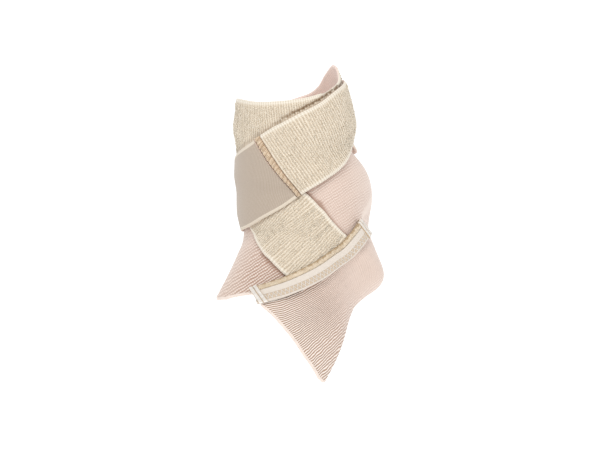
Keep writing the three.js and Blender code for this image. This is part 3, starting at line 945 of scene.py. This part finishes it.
def later_gap(points, turn):
    """How far each point of a turn lies outside the later turns and the tab, below zero under them."""
    gap = np.full(len(points), FAR_GAP)
    for own in np.unique(np.round(turn / TURN_STEP) * TURN_STEP):
        mine = np.abs(turn - own) <= TURN_STEP / 2
        for lap in (1, 2):
            over = np.abs(strap_stations.turn - own + lap * FULL_TURN) < LAYER_WINDOW
            over &= runs_of_strap < strap_end + TAB_LENGTH
            gap[mine] = np.minimum(gap[mine], strap_edge_gap(points[mine], over))
    return gap


# Painted shade under the edges of later turns: its reach, the turns where it is deepest, its fade and its
# least share
SHADE_REACH = 1.5
SHADE_TURNS = (-255.0, -335.0)
SHADE_FADE = 20.0
LEAST_SHADE = 0.3


def deep_shade(turn):
    """How dark the painted shade is under a later turn's edge: deepest under the last turn's upper edge."""
    start, stop = SHADE_TURNS
    deepest = smooth_step(stop - SHADE_FADE, stop + SHADE_FADE, turn)
    deepest *= 1 - smooth_step(start + SHADE_FADE / 2, start + 1.5 * SHADE_FADE, turn)
    return LEAST_SHADE + (1 - LEAST_SHADE) * deepest


def strap_start(aside):
    """The run at which the strap starts: its lower side starts later, so that the seam covers it."""
    return STRAP_START * (HALF_STRAP - aside) / STRAP_WIDTH


# How a band's long edges are rounded: the radius, and the shares of its wall at the top and the bottom
STRAP_EDGE = (0.9, 0.55, 0.4)
TAB_EDGE = (0.7, 0.6, 0.35)


def make_band(name, strip, wall, edge, materials, fields):
    """A soft-edged band along the strap."""
    radius, top, bottom = edge
    inside = edge_rounding(strip, radius)
    outer = on_strip(strip, wall * (top + (1 - top) * inside))
    inner = on_strip(strip, wall * bottom * (1 - inside))
    places = {"along": strip.along, "aside": strip.aside, "rib": strip.along, "grain": strip.aside}
    return shell(name, outer, inner, {**places, **fields}, materials)


def lay_whole_strap():
    whole = lay_strap(0, strap_end, STRAP_ROW, STRAP_COLUMN)
    rows, columns = whole.along.shape
    first = strap_start(whole.aside[:1]) / strap_end * (rows - 1)
    row = first + (rows - 1 - first) * np.linspace(0, 1, rows)[:, None]
    strip = read_strip(whole, row, np.arange(columns) + 0 * row)
    return strip._replace(height=strip.height - pressed_down(strip))


def make_strap(strip):
    turn = strap_line.at(strip.along.ravel()).turn
    gap = later_gap(strip.point.reshape(-1, 3), turn)
    # Painted shade on the strap under the edges of later turns and the tab
    shade = edge_shade(gap, SHADE_REACH) * (gap > -1) * deep_shade(turn)
    return make_band("strap", strip, STRAP_WALL, STRAP_EDGE, [pile, lining], {"shade": shade})


strap_strip = lay_whole_strap()
strap = keep(make_strap(strap_strip), "wrap_strap")

LOOP_WIDTH = 0.8
LOOP_RISE = 0.55
LOOP_THREAD = 0.3
LOOP_ROOT = 0.1
LOOP_POINTS = 4
LOOP_SIDES = 3
LOOP_SEED = 7
PILE_MARGIN = 0.8
PILE_INSET = 0.5

# How unevenly the loops stand, in millimetres along and to the side, in radians and as shares
RUN_SPREAD = 0.27
SIDE_SPREAD = 0.18
TWIST_SPREAD = 0.5
LEAN_SPREAD = 0.18
WIDTH_SHARES = (0.8, 1.25)
RISE_SHARES = (0.6, 1.55)


def make_pile(strip):
    """Thread loops in rows across the strap, where no later turn hides them."""
    rng = np.random.default_rng(LOOP_SEED)
    runs = np.arange(PILE_MARGIN, strap_end - PILE_MARGIN, STRAP_RIB)
    sides = np.arange(-HALF_STRAP + SELVEDGE + PILE_INSET, HALF_STRAP - SELVEDGE, LOOP_PITCH)
    run = runs[:, None] + rng.normal(0, RUN_SPREAD, (len(runs), len(sides)))
    shift = (np.arange(len(runs)) % 2)[:, None] * LOOP_PITCH / 2
    side = sides + rng.normal(0, SIDE_SPREAD, run.shape) + shift
    start = strap_start(side)
    row = (run - start) / (strap_end - start) * (strip.along.shape[0] - 1)
    column = (side + HALF_STRAP) / STRAP_WIDTH * (strip.along.shape[1] - 1)
    top = on_strip(strip, STRAP_WALL)
    centre = from_grid(top, row, column).reshape(-1, 3)
    along = unit(from_grid(top, row + 0.5, column).reshape(-1, 3) - centre)
    normal = unit(from_grid(strip.normal, row, column)).reshape(-1, 3)
    across = np.cross(along, normal)
    turn = np.repeat(strap_line.at(runs).turn, len(sides))
    below = form_point(from_grid(strip.level, row, column), from_grid(strip.angle, row, column))
    gap = later_gap(below.reshape(-1, 3), turn)
    shown = (gap > PILE_MARGIN) & (row.ravel() > 0.5)
    centre, normal, along, across = (v[shown] for v in (centre, normal, along, across))
    # Painted shade on the loops under the edges of later turns and the tab
    shade = edge_shade(gap[shown], SHADE_REACH) * deep_shade(turn[shown])
    count = len(centre)
    twist = rng.normal(0, TWIST_SPREAD, (count, 1))
    width = LOOP_WIDTH * rng.uniform(*WIDTH_SHARES, (count, 1))
    rise = LOOP_RISE * rng.uniform(*RISE_SHARES, (count, 1))
    upward = normal + along * rng.normal(0, LEAN_SPREAD, (count, 1))
    tone = rng.uniform(0, 1, count)
    reach = across * np.cos(twist) + along * np.sin(twist)
    beside = np.cross(reach, normal)
    rings, tips = [], []
    for place in np.linspace(0, math.pi, LOOP_POINTS):
        middle = centre + reach * width / 2 * math.cos(place) + upward * (rise * math.sin(place) - LOOP_ROOT)
        outward = unit(reach * math.cos(place) + normal * (0.3 + math.sin(place)))
        for turned in np.linspace(0, 2 * math.pi, LOOP_SIDES, endpoint=False):
            rings.append(middle + LOOP_THREAD * (math.cos(turned) * outward + math.sin(turned) * beside))
            # The tip field is painted light and shade: lighter at each loop's top and on the outer side of
            # its thread, darker at its roots
            tips.append(np.full(count, math.sin(place) * (0.6 + 0.4 * math.cos(turned))))
    number = np.arange(LOOP_POINTS * LOOP_SIDES).reshape(LOOP_POINTS, LOOP_SIDES)
    after = np.roll(number, -1, 1)
    one = np.stack([number[:-1], after[:-1], after[1:], number[1:]], -1).reshape(-1, 4)
    faces = (one + number.size * np.arange(count)[:, None, None]).reshape(-1, 4)
    tone, shade = (np.repeat(values, number.size) for values in (tone, shade))
    fields = {"tip": np.stack(tips, 1), "tone": tone, "shade": shade}
    return new_object("strap_pile", np.stack(rings, 1).reshape(-1, 3), faces.tolist(), fields, [loops])


strap_pile = ride_along(make_pile(strap_strip))


def strands(place, pitch, depth):
    """Depths of the grooves between threads laid side by side."""
    return depth * np.abs(np.sin(np.pi * place / pitch))


BUNDLE_PITCH = 3.1
BUNDLE_RISE = 0.42
BEAD_SPACING = 0.2


def make_bead():
    start = strap_end + SIDE_GAP
    strip = lay_strap(start, start + BEAD_LENGTH, BEAD_SPACING, BEAD_SPACING)
    across = (strip.along - start) / BEAD_LENGTH
    dome = np.sqrt(np.clip(1 - (2 * across - 1) ** 2, 0, 1))
    threads = strands(strip.aside, BEAD_THREAD, 0.22)
    slanted = 2 * np.pi * (strip.aside + 0.5 * across * BEAD_LENGTH) / BUNDLE_PITCH
    bundles = np.sin(slanted + 1.5 * np.sin(strip.aside / 2.7))
    rise = 0.25 + (STRAP_WALL + BEAD_RISE - 0.55 + BUNDLE_RISE * bundles - threads) * dome
    fields = {"along": strip.aside, "aside": strip.along, "between": 0.5 * smooth_step(0.5, 1.0, -bundles)}
    return shell("bead", on_strip(strip, rise), on_strip(strip, 0 * rise), fields, [tan_thread])


bead = keep(make_bead(), "strap_end_bead")


def make_tab():
    start = strap_end + BEAD_LENGTH + 2 * SIDE_GAP
    strip = lay_strap(start, start + TAB_LENGTH, 0.8, 0.7)
    return make_band("tab", strip, TAB_WALL, TAB_EDGE, [tab_face, lining], {})


tab = keep(make_tab(), "hook_tab")


# The seam

SEAM_SMOOTHING = 5.0
SEAM_LIFT = 0.3
SEAM_TOP = HALF_TAPE + SIDE_GAP + SEAM_EDGE_WIDTH
THREAD_GAP = 0.1


def evened(values, spacing):
    """Rows of values smoothed along the seam. The ends are carried on straight first."""
    count = round(3 * SEAM_SMOOTHING / spacing)
    before = 2 * values[:1] - values[count:0:-1]
    after = 2 * values[-1:] - values[-2:-2 - count:-1]
    rows = np.concatenate([before, values, after])
    weight = np.exp(-((np.arange(-count, count + 1) * spacing / SEAM_SMOOTHING) ** 2) / 2)
    weight /= weight.sum()
    return sum(w * rows[i:i + len(values)] for i, w in enumerate(weight))


def lay_seam(line, spacing, low, high, column_spacing):
    """A strip along the seam that runs evenly over the strap's start, and how far it is from the fabric."""
    strip = lay_strip(line, 0, line.length, spacing, low, high, column_spacing, seam_height)
    drop = seam_drop(strip) + SEAM_LIFT
    point = evened(on_strip(strip, SEAM_LIFT), spacing)
    normal = unit(evened(strip.normal, spacing))
    return strip._replace(point=point, normal=normal, height=0 * strip.height), drop


def sewn_piece(name, strip, rise, under, material, between=0.0):
    """A body on the seam. The between field marks the grooves of its thread."""
    fields = {"along": strip.along, "aside": strip.aside, "between": between + 0 * strip.along}
    return shell(name, on_strip(strip, rise), on_strip(strip, under), fields, [material])


def make_tape():
    strip, drop = lay_seam(seam_line, 0.5, -HALF_TAPE, HALF_TAPE, 0.25)
    rise = TAPE_WALL * (0.5 + 0.5 * edge_rounding(strip, 0.6))
    return sewn_piece("tape", strip, rise, -drop, tape_cloth)


def make_seam_edge():
    strip, drop = lay_seam(seam_line, 0.25, HALF_TAPE + 0.05, SEAM_TOP, 0.3)
    ragged = 0.35 * np.sin(strip.along / 0.9) + 0.25 * np.sin(strip.along / 0.37 + 1)
    threads = strands(strip.along, SEAM_THREAD, 0.2)
    rise = 0.2 + (TAPE_WALL + THREAD_GAP - threads) * edge_rounding(strip, 1.6)
    top_line = smooth_step(SEAM_TOP - 1.3, SEAM_TOP - 0.5, strip.aside + ragged)
    return sewn_piece("seam_raw_edge", strip, rise, -drop, edge_thread, 0.8 * top_line)


BAR_COUNT = 2
BAR_SPACING = 0.2
BAR_COLUMN = 0.25


def make_bar(name, from_run, to_run, slant):
    """Bars of close stitches across the seam. The slant is the run gained from the lower end to the upper."""
    low = (SEAM_TOP - HALF_TAPE - BAR_WIDTH) / 2
    share = np.linspace(0, 1, round((to_run - from_run) / BAR_SPACING) + 1)[:, None]
    aside = np.linspace(0, 1, round(BAR_WIDTH / BAR_COLUMN) + 1)[None]
    wide = lay_seam(bar_line, 0.5, low, low + BAR_WIDTH, BAR_COLUMN)[0]
    run = from_run + (to_run - from_run) * share + slant * (aside - 0.5)
    row = run / bar_line.length * (wide.along.shape[0] - 1)
    strip = read_strip(wide, row, aside * (wide.along.shape[1] - 1) + 0 * row)
    strip = strip._replace(along=strip.aside, aside=strip.along)
    bars = np.abs(np.sin(BAR_COUNT * np.pi * share)) ** 0.5 + 0 * aside
    ends = np.clip(np.minimum(aside, 1 - aside) * BAR_WIDTH / 0.8, 0, 1) ** 0.5
    under = TAPE_WALL + THREAD_GAP
    rise = under + 0.2 + (BAR_WALL - strands(strip.along, SEAM_THREAD, 0.15)) * bars * ends
    return sewn_piece(name, strip, rise, under - 0.9, white_thread, smooth_step(0.75, 0.35, bars))


bar_line = Line(SEAM_PATH + [(-31, 6.37, 0)])
front_run = seam_line.length - BAR_LENGTH
tape = keep(make_tape(), "seam_tape")
seam_edge = keep(make_seam_edge(), "seam_edge")
bar_side = keep(make_bar("bar_side", 0.6, 0.6 + BAR_LENGTH, 0.0), "bar_tack_side")
bar_front = make_bar("bar_front", front_run, seam_line.length + 1.0, 5.0)
keep(bar_front, "bar_tack_front")


# The room, the lights and the camera

FLOOR_COLOUR = (250, 250, 250)
FLOOR_GLOW = 0.3
FLOOR_LEVEL = -230.0
FLOOR_REACH = 6000.0
WHITE = (1, 1, 1, 1)


def make_room():
    """A flat white floor that glows a little, so that it looks as white as the backdrop."""
    f = Fabric("floor_white", roughness=0.9, sheen=0)
    f.put(f.surface.inputs["Base Color"], linear(FLOOR_COLOUR))
    f.put(f.surface.inputs["Emission Color"], WHITE)
    f.put(f.surface.inputs["Emission Strength"], FLOOR_GLOW)
    signs = ((-1, -1), (1, -1), (1, 1), (-1, 1))
    corners = [(x * FLOOR_REACH, y * FLOOR_REACH, FLOOR_LEVEL) for x, y in signs]
    new_object("floor", corners, [[0, 1, 2, 3]], {}, [f.material])


def add_facing(name, data, place, direction):
    """An object at a place whose back is turned in a direction."""
    made = bpy.data.objects.new(name, data)
    scene.collection.objects.link(made)
    made.location = place
    made.rotation_mode = "QUATERNION"
    made.rotation_quaternion = direction.to_track_quat("Z", "Y")
    return made


KEY_AZIMUTH = VIEW_AZIMUTH + 2
KEY_ELEVATION = 52.0
KEY_DISTANCE = 1.2
KEY_SIZE = 0.5
ROOM_LIGHT = 0.9
BACKDROP_LIGHT = 1.02
KEY_POWER = 5.0


def light_the_room():
    world = bpy.data.worlds.new("white_room")
    world.use_nodes = True
    nodes, links = world.node_tree.nodes, world.node_tree.links
    sky, seen = nodes["Background"], nodes.new("ShaderNodeLightPath")
    strength = nodes.new("ShaderNodeMapRange")
    sky.inputs["Color"].default_value = WHITE
    strength.inputs["To Min"].default_value = ROOM_LIGHT
    strength.inputs["To Max"].default_value = BACKDROP_LIGHT
    links.new(seen.outputs["Is Camera Ray"], strength.inputs["Value"])
    links.new(strength.outputs["Result"], sky.inputs["Strength"])
    scene.world = world
    key = bpy.data.lights.new("key", "AREA")
    key.size = KEY_SIZE
    key.energy = KEY_POWER
    direction = Vector(towards(KEY_AZIMUTH, KEY_ELEVATION))
    add_facing("key", key, direction * KEY_DISTANCE, direction)
    scene.view_settings.view_transform = "Standard"


def set_camera():
    right, up, back = (Vector(axis) for axis in view_axes())
    lens = bpy.data.cameras.new("camera")
    lens.lens = LENS
    lens.sensor_width = SENSOR
    lens.clip_end = 100
    pixel = MM_PER_PIXEL * MM
    aside, below = (size / 2 - origin for size, origin in zip(FRAME_PIXELS, ORIGIN_PIXEL))
    aim = (right * aside - up * below) * pixel
    distance = FRAME_PIXELS[0] * pixel * LENS / SENSOR
    scene.camera = add_facing("camera", lens, aim + back * distance, back)


make_room()
light_the_room()
set_camera()
